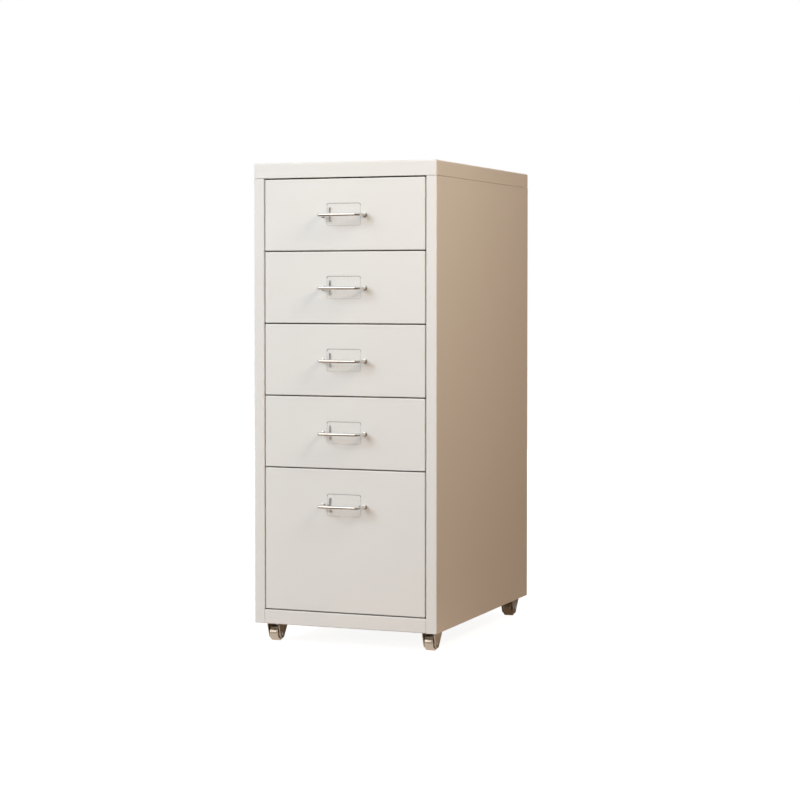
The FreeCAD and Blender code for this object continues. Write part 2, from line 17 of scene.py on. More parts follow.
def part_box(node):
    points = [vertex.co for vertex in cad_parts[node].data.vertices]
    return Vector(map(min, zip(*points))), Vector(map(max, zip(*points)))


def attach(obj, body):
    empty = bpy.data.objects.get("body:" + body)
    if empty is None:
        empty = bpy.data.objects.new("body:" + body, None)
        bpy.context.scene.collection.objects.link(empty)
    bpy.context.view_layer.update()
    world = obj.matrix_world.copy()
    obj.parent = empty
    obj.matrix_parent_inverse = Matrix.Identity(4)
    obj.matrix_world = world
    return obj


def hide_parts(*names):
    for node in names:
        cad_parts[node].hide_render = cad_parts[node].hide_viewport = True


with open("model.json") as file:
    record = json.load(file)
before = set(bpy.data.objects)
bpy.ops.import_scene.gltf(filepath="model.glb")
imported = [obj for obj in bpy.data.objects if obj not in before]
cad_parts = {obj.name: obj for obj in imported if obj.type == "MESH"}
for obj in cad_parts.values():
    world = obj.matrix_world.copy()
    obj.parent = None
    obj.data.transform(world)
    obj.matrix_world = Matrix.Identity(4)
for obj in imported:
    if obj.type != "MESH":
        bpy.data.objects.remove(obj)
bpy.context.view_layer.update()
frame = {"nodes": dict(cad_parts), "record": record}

scene = bpy.context.scene
bodies = frame["record"]["behaviour"]["bodies"]
body_of = {node: body for body, members in bodies.items() for node in members}
drawers = [f"drawer_{number}" for number in range(1, 6)]
corners = ["front_left", "front_right", "rear_left", "rear_right"]
mm = 0.001

# %% [markdown]
# ## The camera
# The photograph was taken from the right of the fronts with a long lens, a little below the top, so the
# top itself is out of sight. The lens, place and turn were fitted to the cabinet's corners and drawer
# gaps. The vertical edges hardly converge, which a small shift gives better than a steeper tilt.

# %% The camera
lens_mm = 94.84
sensor_mm = 36.0
turn_left = math.radians(21.417)
tilt_down = math.radians(1.905)
shift_up = -0.05
camera_place = Vector((1161.0, -2936.0, 509.2)) * mm


def add_object(name, data):
    """A new object in the scene that shows the data."""
    added = bpy.data.objects.new(name, data)
    scene.collection.objects.link(added)
    return added


camera = add_object("camera", bpy.data.cameras.new("camera"))
scene.camera = camera
camera.data.lens = lens_mm
camera.data.sensor_width = sensor_mm
camera.data.shift_y = shift_up
camera.location = camera_place
camera.rotation_euler = (math.radians(90) - tilt_down, 0, turn_left)
print("camera:", lens_mm, "mm lens,", round(camera_place.length, 2), "m away")

# %% [markdown]
# ## Building with nodes
# Light, floor and finishes are all networks of nodes. They could be wired up by hand in the editor. In
# a script each node is added in one call that also feeds its inputs, with plain values or with what
# other nodes put out, so that a network reads from its first node to its last.


# %% Node helpers
def feed(tree, socket, source):
    """Gives an input a plain value or a link. A node stands for its own first output."""
    if isinstance(source, bpy.types.Node):
        source = source.outputs[0]
    if isinstance(source, bpy.types.NodeSocket):
        tree.links.new(source, socket)
    else:
        socket.default_value = source


def feed_inputs(tree, node, **sources):
    """Feeds the inputs of these names. An underscore stands for a space."""
    for name, source in sources.items():
        feed(tree, node.inputs[name.replace("_", " ")], source)


def new_node(tree, kind, place, *sources, **settings):
    """Adds a node. Sources feed its inputs in their order. A setting sets the node's property of that
    name, or feeds the input of that name."""
    node = tree.nodes.new(kind)
    node.location = place
    for name, value in settings.items():
        if hasattr(node, name):
            setattr(node, name, value)
        else:
            feed_inputs(tree, node, **{name: value})
    for socket, source in zip(node.inputs, sources):
        feed(tree, socket, source)
    return node


def spread(tree, source, place, start, stop, low=0.0, high=1.0, kind="LINEAR"):
    """Maps a value from start..stop to low..high."""
    return new_node(tree, "ShaderNodeMapRange", place, interpolation_type=kind, Value=source,
                    From_Min=start, From_Max=stop, To_Min=low, To_Max=high)


def multiply(tree, first, second, place):
    """The product of two values."""
    return new_node(tree, "ShaderNodeMath", place, first, second, operation="MULTIPLY")


def mix_colours(tree, factor, first, second, place):
    """A mix of two colours. On a Mix node, inputs 6 and 7 and output 2 are the ones for colours."""
    mix = new_node(tree, "ShaderNodeMix", place, factor, data_type="RGBA")
    feed(tree, mix.inputs[6], first)
    feed(tree, mix.inputs[7], second)
    return mix.outputs[2]


def bare_material(name):
    """A material without nodes, and its tree."""
    material = bpy.data.materials.new(name)
    material.use_nodes = True
    material.node_tree.nodes.clear()
    return material, material.node_tree


# %% [markdown]
# ## The studio
# The picture has pure white all round, a soft key light from the upper left in front, and a right side
# that falls into warm brown shade. White is only what the camera, mirrors and clear plastic see. What
# lights the object is a gentle warm sky, pale on the left and dim and brown towards +X, with a large
# cool lamp at the upper left and a weak warm one at the right. A third lamp, low behind the cabinet,
# lights only its back and left side. The floor's bounce is brown close to the cabinet and on its right,
# so the paint grows warmer downwards. The floor keeps the shadow. From below it is clear, so that the
# underside can be looked at.

# %% Sky and lamps
pale_sky = (0.66, 0.60, 0.54, 1)
warm_sky = (0.20, 0.08, 0.02, 1)
pale_until, warm_from = -0.10, 0.55
pure_white = (1, 1, 1, 1)


def seen_directly(tree, place):
    """1 where the camera, a mirror or clear plastic looks, and 0 where light is gathered."""
    path = new_node(tree, "ShaderNodeLightPath", place).outputs
    by_eye = new_node(tree, "ShaderNodeMath", (place[0] + 180, place[1]), path["Is Camera Ray"],
                      path["Is Glossy Ray"], operation="MAXIMUM")
    return new_node(tree, "ShaderNodeMath", (place[0] + 360, place[1]), by_eye,
                    path["Is Transmission Ray"], operation="MAXIMUM")


world = bpy.data.worlds.new("studio")
scene.world = world
world.use_nodes = True
sky = world.node_tree
sky.nodes.clear()
direction = new_node(sky, "ShaderNodeTexCoord", (-1000, 0))
axes = new_node(sky, "ShaderNodeSeparateXYZ", (-800, 0), direction.outputs["Generated"])
warmth = spread(sky, axes.outputs["X"], (-600, 0), pale_until, warm_from, kind="SMOOTHSTEP")
light = new_node(sky, "ShaderNodeBackground", (0, 0),
                 Color=mix_colours(sky, warmth, pale_sky, warm_sky, (-300, 0)))
white = new_node(sky, "ShaderNodeBackground", (0, -150), Color=pure_white)
choose = new_node(sky, "ShaderNodeMixShader", (250, 0), seen_directly(sky, (-400, 300)), light, white)
new_node(sky, "ShaderNodeOutputWorld", (450, 0), Surface=choose)


def soft_lamp(name, place, target, size, power, colour):
    """A square area lamp that lights surfaces, but isn't seen in them as a mirror image."""
    lamp = bpy.data.lights.new(name, "AREA")
    lamp.size = size
    lamp.energy = power
    lamp.color = colour
    stand = add_object(name, lamp)
    stand.location = place
    stand.rotation_euler = (Vector(target) - Vector(place)).to_track_quat("-Z", "Y").to_euler()
    stand.visible_glossy = False
    print("lamp:", name, power, "W,", size, "m wide")


soft_lamp("key", place=(-2.2, -3.5, 2.1), target=(0, 0, 0.45), size=2.4, power=112,
          colour=(0.76, 0.89, 1.0))
soft_lamp("warm_fill", place=(1.15, -0.75, 1.35), target=(0, -0.1, 0.45), size=0.7, power=14.0,
          colour=(1.0, 0.87, 0.69))
soft_lamp("rear_fill", place=(-1.4, 3.2, 0.7), target=(0, 0.2, 0.4), size=1.2, power=52,
          colour=(0.86, 0.94, 1.0))

# %% The floor
floor_half = 6.0
near_floor = (0.42, 0.34, 0.27, 1)
far_floor = (0.66, 0.65, 0.63, 1)
right_floor = (0.12, 0.065, 0.032, 1)
near_reach, far_reach, right_reach = 0.2, 2.0, 0.5
shadow_tone = (0.30, 0.29, 0.28, 1)
floor_glow = 0.91

floor_mesh = bpy.data.meshes.new("floor")
floor_corners = [(-1, -1), (1, -1), (1, 1), (-1, 1)]
floor_mesh.from_pydata([(x * floor_half, y * floor_half, 0) for x, y in floor_corners],
                       [], [(0, 1, 2, 3)])
floor = add_object("floor", floor_mesh)

# %% The floor's paint
floor_paint, tree = bare_material("floor")
place = new_node(tree, "ShaderNodeTexCoord", (-1200, -200)).outputs["Object"]
away = new_node(tree, "ShaderNodeVectorMath", (-1000, -100), place, operation="LENGTH")
apart = new_node(tree, "ShaderNodeSeparateXYZ", (-1000, -300), place)
outward = spread(tree, away.outputs["Value"], (-800, -100), near_reach, far_reach, kind="SMOOTHSTEP")
rightward = spread(tree, apart.outputs["X"], (-800, -350), 0, right_reach, kind="SMOOTHSTEP")
by_distance = mix_colours(tree, outward, near_floor, far_floor, (-500, -100))
by_side = mix_colours(tree, rightward, by_distance, right_floor, (-250, -200))
matt = new_node(tree, "ShaderNodeBsdfDiffuse", (0, 0), Color=by_side)
shadow_keeper = new_node(tree, "ShaderNodeBsdfDiffuse", (0, 150), Color=shadow_tone)
glow = new_node(tree, "ShaderNodeEmission", (0, 300), Color=pure_white, Strength=floor_glow)
seen = new_node(tree, "ShaderNodeAddShader", (200, 200), glow, shadow_keeper)
choose = new_node(tree, "ShaderNodeMixShader", (400, 0), seen_directly(tree, (-600, 300)), matt, seen)
facing = new_node(tree, "ShaderNodeNewGeometry", (400, 250))
clear_below = new_node(tree, "ShaderNodeBsdfTransparent", (400, -200))
one_sided = new_node(tree, "ShaderNodeMixShader", (600, 0), facing.outputs["Backfacing"], choose,
                     clear_below)
new_node(tree, "ShaderNodeOutputMaterial", (800, 0), Surface=one_sided)
floor_mesh.materials.append(floor_paint)
print("floor:", 2 * floor_half, "m wide")

# %% [markdown]
# ## Cards for the mirrors
# Chrome and plating show what stands round them, and a room that is white all round would leave them
# without any form. So these cards are painted reflections, as a photographer's flags and papers would
# be: dark flags at the right and brown papers on the floor give each bar a dark underside, so that it
# reads as round, and give the bends and casters their bronze tones. The papers under the cabinet, at its
# right and at its rear are painted shade, for the floor in its shadow. A glowing card in the key lamp's
# place is a painted highlight, the cream one on each bar. Only mirrors see these cards: the camera and
# the light that falls on the paint pass them by.

# %% Flags and papers
bronze = (0.24, 0.165, 0.115, 1)
light_bronze = (0.34, 0.22, 0.14, 1)
shade = (0.17, 0.105, 0.065, 1)
deep_shade = (0.14, 0.09, 0.05, 1)
key_highlight_glow = (3.0, 2.8, 2.5, 1)
paper_lift = 0.5 * mm


def mirror_card(name, outline, colour):
    """A card that only glossy rays meet. It glows with its own colour, so that no shadow falls on it."""
    mesh = bpy.data.meshes.new(name)
    mesh.from_pydata(outline, [], [(0, 1, 2, 3)])
    card = add_object(name, mesh)
    paper, tree = bare_material(name)
    glow = new_node(tree, "ShaderNodeEmission", (0, 0), Color=colour, Strength=1.0)
    new_node(tree, "ShaderNodeOutputMaterial", (200, 0), Surface=glow)
    mesh.materials.append(paper)
    for ray in ("camera", "diffuse", "shadow", "transmission"):
        setattr(card, "visible_" + ray, False)
    print("card:", name, "glows", colour[:3])


def flag(name, start, stop, height, colour, foot=0.01):
    """A standing card from one point of the floor to another, between two heights."""
    (x0, y0), (x1, y1) = start, stop
    mirror_card(name, [(x0, y0, foot), (x1, y1, foot), (x1, y1, height), (x0, y0, height)], colour)


def floor_paper(name, x_range, y_range, colour):
    """A card that lies on the floor."""
    (x0, x1), (y0, y1) = x_range, y_range
    mirror_card(name, [(x, y, paper_lift) for x, y in ((x0, y0), (x0, y1), (x1, y1), (x1, y0))], colour)


# Painted reflections of the floor: the paper at the casters is its lit part, and the cards under the
# cabinet, at its right and at its rear are painted shade, where the floor lies in the cabinet's shadow.
floor_paper("paper_in_front", (-2.2, 2.6), (-2.6, -0.32), shade)
floor_paper("paper_at_casters", (-0.5, 0.5), (-0.32, -0.150), (0.78, 0.68, 0.58, 1))
floor_paper("paper_underneath", (-0.15, 0.15), (-0.150, 0.24), deep_shade)
floor_paper("paper_beside", (0.15, 0.30), (-0.150, 0.10), (0.50, 0.36, 0.26, 1))
floor_paper("paper_at_right", (0.30, 3.2), (-0.32, 3.4), (0.20, 0.12, 0.07, 1))
floor_paper("paper_at_rear", (0.15, 0.30), (0.10, 3.4), (0.10, 0.065, 0.04, 1))
# Painted highlight: a card that glows for mirrors only, in the key lamp's place, for the cream highlight
# on each bar and wheel.
flag("window", (-3.22, -2.86), (-1.18, -4.14), 3.3, key_highlight_glow, foot=0.9)
flag("flag_low_in_front", (-2.2, -2.6), (2.6, -2.6), 0.70, shade)
flag("flag_front_right", (-0.35, -3.0), (1.3, -2.7), 3.0, bronze)
flag("flag_right", (1.75, -2.6), (2.9, -1.5), 3.0, bronze)
flag("flag_far_right", (3.0, -1.2), (3.0, -0.2), 3.0, bronze)
flag("flag_back_right", (3.0, -0.2), (2.2, 2.2), 1.8, light_bronze)
flag("flag_behind", (2.2, 2.2), (-0.3, 3.2), 1.8, light_bronze)

# %% [markdown]
# ## Surface effects that several finishes share
# Each effect is a node group with named inputs: a grain for powder and castings, a lighter line along an
# edge, partly wear and partly painted highlight, dust on what faces up, the fine rings that a lathe
# leaves, smudges, and the walls of a clear plate, with their painted shade. Painted images could give
# the same, but a pattern worked out from the surface stays sharp close up. A finish places the groups
# that it needs, with its own values, and keeps its shader to itself.


# %% Powder, edges and dust
def node_group(name, inputs, outputs, kind="ShaderNodeTree"):
    """A group with (name, kind, value) inputs and (name, kind) outputs, and its two end nodes."""
    group = bpy.data.node_groups.new(name, kind)
    for label, socket_kind, *value in inputs:
        socket = group.interface.new_socket(label, in_out="INPUT", socket_type="NodeSocket" + socket_kind)
        if value:
            socket.default_value = value[0]
    for label, socket_kind in outputs:
        group.interface.new_socket(label, in_out="OUTPUT", socket_type="NodeSocket" + socket_kind)
    start = new_node(group, "NodeGroupInput", (-1200, 0))
    end = new_node(group, "NodeGroupOutput", (1000, 0))
    return group, start.outputs, end


def object_place(tree, place):
    """The place on the piece, which stays with it when it moves."""
    return new_node(tree, "ShaderNodeTexCoord", place).outputs["Object"]


def powder_grain():
    """The orange-peel skin of baked powder: shallow rounded bumps, and a slow drift."""
    group, start, end = node_group("powder_grain", [("Bumps per metre", "Float", 420.0),
                                                    ("Drift per metre", "Float", 9.0)],
                                   [("Height", "Float"), ("Drift", "Float")])
    place, bumps = object_place(group, (-900, 200)), start["Bumps per metre"]
    peel = new_node(group, "ShaderNodeTexNoise", (-500, 200), Vector=place, Scale=bumps, Detail=2.0,
                    Roughness=0.55)
    cells = new_node(group, "ShaderNodeTexVoronoi", (-500, -50), feature="SMOOTH_F1", Vector=place,
                     Scale=bumps, Smoothness=1.0)
    drift = new_node(group, "ShaderNodeTexNoise", (-500, -300), Vector=place,
                     Scale=start["Drift per metre"], Detail=3.0, Roughness=0.5)
    height = new_node(group, "ShaderNodeMath", (-200, 100), peel, cells, operation="ADD")
    feed_inputs(group, end, Height=height, Drift=drift)
    return group


def worn_edge():
    """A mask along convex and concave edges, broken up so that the line isn't even. Plated metal is made
    lighter along it, partly as wear and partly as a painted highlight.
    """
    group, start, end = node_group("worn_edge", [("Width", "Float", 0.6 * mm), ("Amount", "Float", 1.0)],
                                   [("Worn", "Float")])
    rounded = new_node(group, "ShaderNodeBevel", (-700, 200), samples=4, Radius=start["Width"])
    flat = new_node(group, "ShaderNodeNewGeometry", (-700, 0))
    alike = new_node(group, "ShaderNodeVectorMath", (-500, 100), rounded, flat.outputs["Normal"],
                     operation="DOT_PRODUCT")
    edge = spread(group, alike.outputs["Value"], (-300, 100), 0.995, 0.80)
    chips = new_node(group, "ShaderNodeTexNoise", (-500, -300), Vector=object_place(group, (-700, -300)),
                     Scale=160.0, Detail=6.0, Roughness=0.7)
    patchy = spread(group, chips, (-300, -300), 0.48, 0.62)
    both = multiply(group, edge, patchy, (0, 0))
    feed_inputs(group, end, Worn=multiply(group, both, start["Amount"], (200, 0)))
    return group


def settled_dust():
    """A thin, uneven film of dust on what faces up."""
    group, start, end = node_group("settled_dust", [("Amount", "Float", 0.3)], [("Dust", "Float")])
    facing = new_node(group, "ShaderNodeNewGeometry", (-700, 100))
    axes = new_node(group, "ShaderNodeSeparateXYZ", (-500, 100), facing.outputs["Normal"])
    upward = spread(group, axes.outputs["Z"], (-300, 100), 0.5, 0.98)
    film = new_node(group, "ShaderNodeTexNoise", (-500, -200), Vector=object_place(group, (-700, -200)),
                    Scale=14.0, Detail=8.0, Roughness=0.65)
    uneven = spread(group, film, (-300, -200), 0.35, 0.75)
    both = multiply(group, upward, uneven, (0, 0))
    feed_inputs(group, end, Dust=multiply(group, both, start["Amount"], (200, 0)))
    return group


# %% Rings and smudges
def turned_rings():
    """Fine rings that follow the profile of a turned piece, from its own turning attribute."""
    group, start, end = node_group("turned_rings", [("Rings per metre", "Float", 2500.0)],
                                   [("Height", "Float")])
    along = new_node(group, "ShaderNodeAttribute", (-700, 0), attribute_name="turning")
    rings = new_node(group, "ShaderNodeTexNoise", (-400, 0), noise_dimensions="1D",
                     W=along.outputs["Fac"], Scale=start["Rings per metre"], Detail=3.0)
    feed_inputs(group, end, Height=rings)
    return group


def hand_smudges():
    """Soft patches where fingers and cleaning cloths have been, as a value from 0 to 1."""
    group, start, end = node_group("hand_smudges", [("Patches per metre", "Float", 30.0)],
                                   [("Smudge", "Float")])
    patches = new_node(group, "ShaderNodeTexNoise", (-400, 0), Vector=object_place(group, (-700, 0)),
                       Scale=start["Patches per metre"], Detail=5.0, Roughness=0.6, Distortion=0.6)
    feed_inputs(group, end, Smudge=spread(group, patches, (-100, 0), 0.35, 0.7))
    return group


# %% The walls of a clear plate
def cut_wall():
    """How much of its light a clear plate takes, and where its painted shade goes: most in its card slot's
    walls, and a little in a line along its rim, where its side walls show through the front. The upper
    line is the strongest, as painted shade under the light from above."""
    group, start, end = node_group("cut_wall", [("Rim", "Float", 0.10), ("Upper rim", "Float", 0.42)],
                                   [("Wall", "Float")])
    half_width, half_height, corner, line_width = 26 * mm, 16 * mm, 3 * mm, 1.1 * mm
    slot_reach, slot_fade = 10.5 * mm, 0.2 * mm
    upper_from, upper_full = half_height - 4 * mm, half_height - 2 * mm
    middle = new_node(group, "ShaderNodeAttribute", (-1100, -200), attribute_name="from_middle")
    folded = new_node(group, "ShaderNodeVectorMath", (-900, -200), middle.outputs["Vector"],
                      operation="ABSOLUTE")

    # The slot's walls are marked faces that turn away from the front, within the slot's reach.
    facing = new_node(group, "ShaderNodeNewGeometry", (-900, 200))
    axes = new_node(group, "ShaderNodeSeparateXYZ", (-700, 200), facing.outputs["True Normal"])
    square_on = new_node(group, "ShaderNodeMath", (-500, 200), axes.outputs["Y"], operation="ABSOLUTE")
    turned_away = spread(group, square_on, (-300, 200), 0.95, 0.65)
    marked = new_node(group, "ShaderNodeAttribute", (-300, 0), attribute_name="slot_wall")
    heights = new_node(group, "ShaderNodeSeparateXYZ", (-700, 0), folded)
    near = spread(group, heights.outputs["Z"], (-500, 0), slot_reach, slot_reach - slot_fade)
    slot = multiply(group, multiply(group, turned_away, marked.outputs["Fac"], (0, 100)), near, (200, 100))

    # The outline lies a corner's radius outside an inner rectangle, and the rim's line just within it.
    inner = (half_width - corner, 0, half_height - corner)
    beyond = new_node(group, "ShaderNodeVectorMath", (-700, -200), folded, inner, operation="SUBTRACT")
    outside = new_node(group, "ShaderNodeVectorMath", (-500, -200), beyond, operation="MAXIMUM")
    reach = new_node(group, "ShaderNodeVectorMath", (-300, -200), outside, operation="LENGTH")
    line = spread(group, reach.outputs["Value"], (-100, -200), corner - line_width, corner,
                  kind="SMOOTHSTEP")
    upright = new_node(group, "ShaderNodeSeparateXYZ", (-700, -450), middle.outputs["Vector"])
    strength = spread(group, upright.outputs["Z"], (-300, -450), upper_from, upper_full,
                      low=start["Rim"], high=start["Upper rim"])
    rim = multiply(group, line, strength, (200, -200))
    wall = new_node(group, "ShaderNodeMath", (500, 0), slot, rim, operation="MAXIMUM")
    feed_inputs(group, end, Wall=wall)
    return group


effects = {group.name: group for group in (powder_grain(), worn_edge(), settled_dust(), turned_rings(),
                                           hand_smudges(), cut_wall())}
print("effects:", sorted(effects))

# %% [markdown]
# ## The finishes
# Powder coat is a hard, slightly wavy paint with a satin gloss. The pulls are bright chrome. Screws and
# stems are zinc-plated, the caster forks and wheels nickel-plated, and the runners zinc-coated sheet.
# The label holders are moulded from clear plastic and the glides from white plastic. A plain colour and
# gloss would look too even to be real, so each finish also varies a little over its surface.


# %% Finish helpers
def new_finish(name, **values):
    """A material with one Principled shader. Values are plain numbers and colours on its sockets."""
    material = bpy.data.materials.new(name)
    material.use_nodes = True
    shader = material.node_tree.nodes["Principled BSDF"]
    feed_inputs(material.node_tree, shader, **values)
    return material, material.node_tree, shader


def place_effect(tree, name, place, **values):
    """Places a shared effect, with its own values."""
    return new_node(tree, "ShaderNodeGroup", place, node_tree=effects[name], **values)


def bump(tree, shader, height, strength, distance):
    """Lets a height pattern tilt the shader's surface."""
    relief = new_node(tree, "ShaderNodeBump", (-250, -300), Strength=strength, Distance=distance,
                      Height=height)
    feed_inputs(tree, shader, Normal=relief)


def dimmed(colour, share):
    """The same colour with only a share of its light."""
    return tuple(channel * share for channel in colour[:3]) + (1,)


# %% Powder coat
dust_colour = (0.50, 0.47, 0.43, 1)


def powder_coat(name, colour, dust_amount):
    """Baked powder: orange peel, a slow drift in tone, faint wiping marks and a little dust."""
    material, tree, shader = new_finish(name, Specular_IOR_Level=0.35)
    grain = place_effect(tree, "powder_grain", (-1100, 0))
    wiped = place_effect(tree, "hand_smudges", (-1100, -250), Patches_per_metre=11.0)
    dust = place_effect(tree, "settled_dust", (-1100, -500), Amount=dust_amount)
    tone = mix_colours(tree, grain.outputs["Drift"], dimmed(colour, 0.97), colour, (-800, 100))
    tone = mix_colours(tree, dust, tone, dust_colour, (-400, 100))
    rough = spread(tree, wiped, (-400, -100), 0, 1, low=0.36, high=0.48)
    feed_inputs(tree, shader, Base_Color=tone, Roughness=rough)
    bump(tree, shader, grain.outputs["Height"], 0.25, 0.04 * mm)
    return material


body_paint = powder_coat("body_paint", (0.79, 0.795, 0.785, 1), 0.25)
tray_paint = powder_coat("tray_paint", (0.76, 0.765, 0.755, 1), 0.35)

# %% Metals
rubbed_and_highlit_metal = (0.85, 0.85, 0.84, 1)


def plated(name, colour, rough_low, rough_high):
    """A bright plating: smudges vary its gloss, and fine grain breaks up its reflections."""
    material, tree, shader = new_finish(name, Metallic=1.0)
    smudge = place_effect(tree, "hand_smudges", (-900, 0), Patches_per_metre=60.0)
    edge = place_effect(tree, "worn_edge", (-900, -250), Width=0.4 * mm, Amount=0.6)
    grain = place_effect(tree, "powder_grain", (-900, -500), Bumps_per_metre=2600.0)
    tone = mix_colours(tree, smudge, colour, dimmed(colour, 0.86), (-600, 100))
    # Lighter along edges: partly rubbed wear, partly a painted highlight.
    tone = mix_colours(tree, edge, tone, rubbed_and_highlit_metal, (-400, 100))
    rough = spread(tree, smudge, (-400, -100), 0, 1, low=rough_low, high=rough_high)
    feed_inputs(tree, shader, Base_Color=tone, Roughness=rough)
    bump(tree, shader, grain.outputs["Height"], 0.1, 0.01 * mm)
    return material


def turned(name, colour, rough_low, rough_high):
    """A plating over a turned surface, with the lathe's rings."""
    material, tree, shader = new_finish(name, Metallic=1.0)
    smudge = place_effect(tree, "hand_smudges", (-900, 0), Patches_per_metre=110.0)
    rings = place_effect(tree, "turned_rings", (-900, -300))
    tone = mix_colours(tree, rings, dimmed(colour, 0.8), colour, (-600, 100))
    rough = spread(tree, smudge, (-400, -100), 0, 1, low=rough_low, high=rough_high)
    feed_inputs(tree, shader, Base_Color=tone, Roughness=rough)
    bump(tree, shader, rings, 0.25, 0.02 * mm)
    return material


chrome = plated("chrome", (0.80, 0.79, 0.78, 1), 0.05, 0.14)
zinc_screw = turned("zinc_screw", (0.62, 0.62, 0.60, 1), 0.25, 0.42)
zinc_sheet = plated("zinc_sheet", (0.60, 0.61, 0.61, 1), 0.32, 0.48)
nickel_sheet = plated("nickel_sheet", (0.60, 0.56, 0.51, 1), 0.26, 0.40)
nickel_wheel = turned("nickel_wheel", (0.70, 0.65, 0.58, 1), 0.26, 0.38)


# %% Plastics
def clear_plastic():
    """Clear moulded plastic, made as a thin see-through film with painted shade at its cut walls: darkest
    in the card slot and along the upper rim. Lamps shine through all of it but the card slot's walls."""
    material, tree, shader = new_finish("clear_plastic")
    smudge = place_effect(tree, "hand_smudges", (-900, -250), Patches_per_metre=70.0)
    wall = place_effect(tree, "cut_wall", (-900, 0))
    painted_wall_shade = spread(tree, wall, (-700, 200), 0, 0.08)
    # Painted shade: the wall mask turns the film near black, in the card slot and along the rim.
    tone = mix_colours(tree, painted_wall_shade, (0.86, 0.90, 0.93, 1), (0.05, 0.045, 0.04, 1), (-500, 100))
    rough = spread(tree, smudge, (-500, -100), 0, 1, low=0.08, high=0.2)
    alpha = spread(tree, wall, (-500, -300), 0, 1, low=0.02, high=0.95)
    path = new_node(tree, "ShaderNodeLightPath", (-500, -600))
    minus_clearness = new_node(tree, "ShaderNodeMath", (-350, -450), alpha, 1.0, operation="SUBTRACT")
    solid = new_node(tree, "ShaderNodeMath", (-200, -400), path.outputs["Is Shadow Ray"],
                     minus_clearness, alpha, operation="MULTIPLY_ADD", use_clamp=True)
    feed_inputs(tree, shader, Base_Color=tone, Roughness=rough, Alpha=solid)
    return material


def glide_plastic():
    """White moulded plastic with a fine spark-eroded grain."""
    material, tree, shader = new_finish("glide_plastic", Roughness=0.5, Subsurface_Weight=0.1)
    grain = place_effect(tree, "powder_grain", (-900, 0), Bumps_per_metre=1500.0)
    drift = grain.outputs["Drift"]
    tone = mix_colours(tree, drift, (0.76, 0.76, 0.73, 1), (0.84, 0.84, 0.81, 1), (-500, 100))
    rough = spread(tree, drift, (-500, -100), 0, 1, low=0.42, high=0.6)
    feed_inputs(tree, shader, Base_Color=tone, Roughness=rough)
    bump(tree, shader, grain.outputs["Height"], 0.3, 0.03 * mm)
    return material


clear = clear_plastic()
white_plastic = glide_plastic()
print("materials:", len(bpy.data.materials), "with the stage's own")

# %% [markdown]
# ## Sheet-metal pieces
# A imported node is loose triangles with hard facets. The panels could be folded again from flat sheet,
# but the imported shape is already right. So a copy of it is merged, its flats are dissolved to whole
# faces, and the corners over 30 degrees are kept sharp. A fine bevel then breaks each cut edge, as the
# coat of powder does, and hardened normals keep the large flats flat. The copy stands for the node,
# with the same shape to a quarter of a millimetre.


# %% Refined copies
def finish_piece(piece, node, material):
    """Gives a piece its finish and its body, and hides the CAD node that it stands for."""
    piece.data.materials.clear()
    piece.data.materials.append(material)
    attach(piece, body_of[node])
    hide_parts(node)
    return piece


def merged_mesh(node):
    """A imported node's mesh with its triangles joined and its flats dissolved."""
    mesh = bmesh.new()
    mesh.from_mesh(frame["nodes"][node].data)
    bmesh.ops.remove_doubles(mesh, verts=mesh.verts, dist=0.002 * mm)
    bmesh.ops.dissolve_limit(mesh, angle_limit=math.radians(0.3), verts=mesh.verts, edges=mesh.edges)
    return mesh


def object_from(mesh, name):
    """An object with the mesh that was worked on, at the origin."""
    data = bpy.data.meshes.new(name)
    mesh.to_mesh(data)
    mesh.free()
    return add_object(name, data)


def shade_by_angle(mesh, degrees):
    """Smooth faces, with an edge kept sharp where they meet at this angle or more."""
    for face in mesh.faces:
        face.smooth = True
    for edge in mesh.edges:
        edge.smooth = len(edge.link_faces) == 2 and edge.calc_face_angle(0) < math.radians(degrees)


def refined(node, material, edge_round=0.2 * mm, sharp_degrees=30):
    """The node's own shape, with smooth bends and finely broken edges."""
    mesh = merged_mesh(node)
    shade_by_angle(mesh, sharp_degrees)
    piece = object_from(mesh, node + "_sheet")
    bevel = piece.modifiers.new("broken_edges", "BEVEL")
    bevel.width = edge_round
    bevel.segments = 2
    bevel.limit_method = "ANGLE"
    bevel.angle_limit = math.radians(sharp_degrees)
    bevel.harden_normals = True
    flats = piece.modifiers.new("even_flats", "WEIGHTED_NORMAL")
    flats.mode = "FACE_AREA"
    flats.keep_sharp = True
    return finish_piece(piece, node, material)


# %% The carcass
for node in ("right_side_panel", "left_side_panel", "top_cap", "back_panel", "base_fascia", "base_panel"):
    panel = refined(node, body_paint)
    print(node, len(panel.data.polygons), "faces before its edges are broken")

# %% Drawers, runners and glides
slot_start, slot_stop = 3.9 * mm, 8.6 * mm
plate_thickness = 1.6 * mm
air_gap = 0.04 * mm


def label_holder(node):
    """The clear plate. Its back keeps a thin gap of air from the paint. Two attributes tell its finish
    how far each point is from its middle, and which faces are in the card slot's strip."""
    label = refined(node, clear, edge_round=0.4 * mm)
    low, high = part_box(node)
    from_middle = label.data.attributes.new("from_middle", "FLOAT_VECTOR", "POINT")
    for point in label.data.vertices:
        if abs(point.co.y - (low.y + plate_thickness)) < air_gap:
            point.co.y -= air_gap
        offset = point.co - (low + high) / 2
        from_middle.data[point.index].vector = (offset.x, 0, offset.z)
    slot_wall = label.data.attributes.new("slot_wall", "FLOAT", "FACE")
    for face in label.data.polygons:
        slot_wall.data[face.index].value = float(slot_start < face.center.x - low.x < slot_stop)


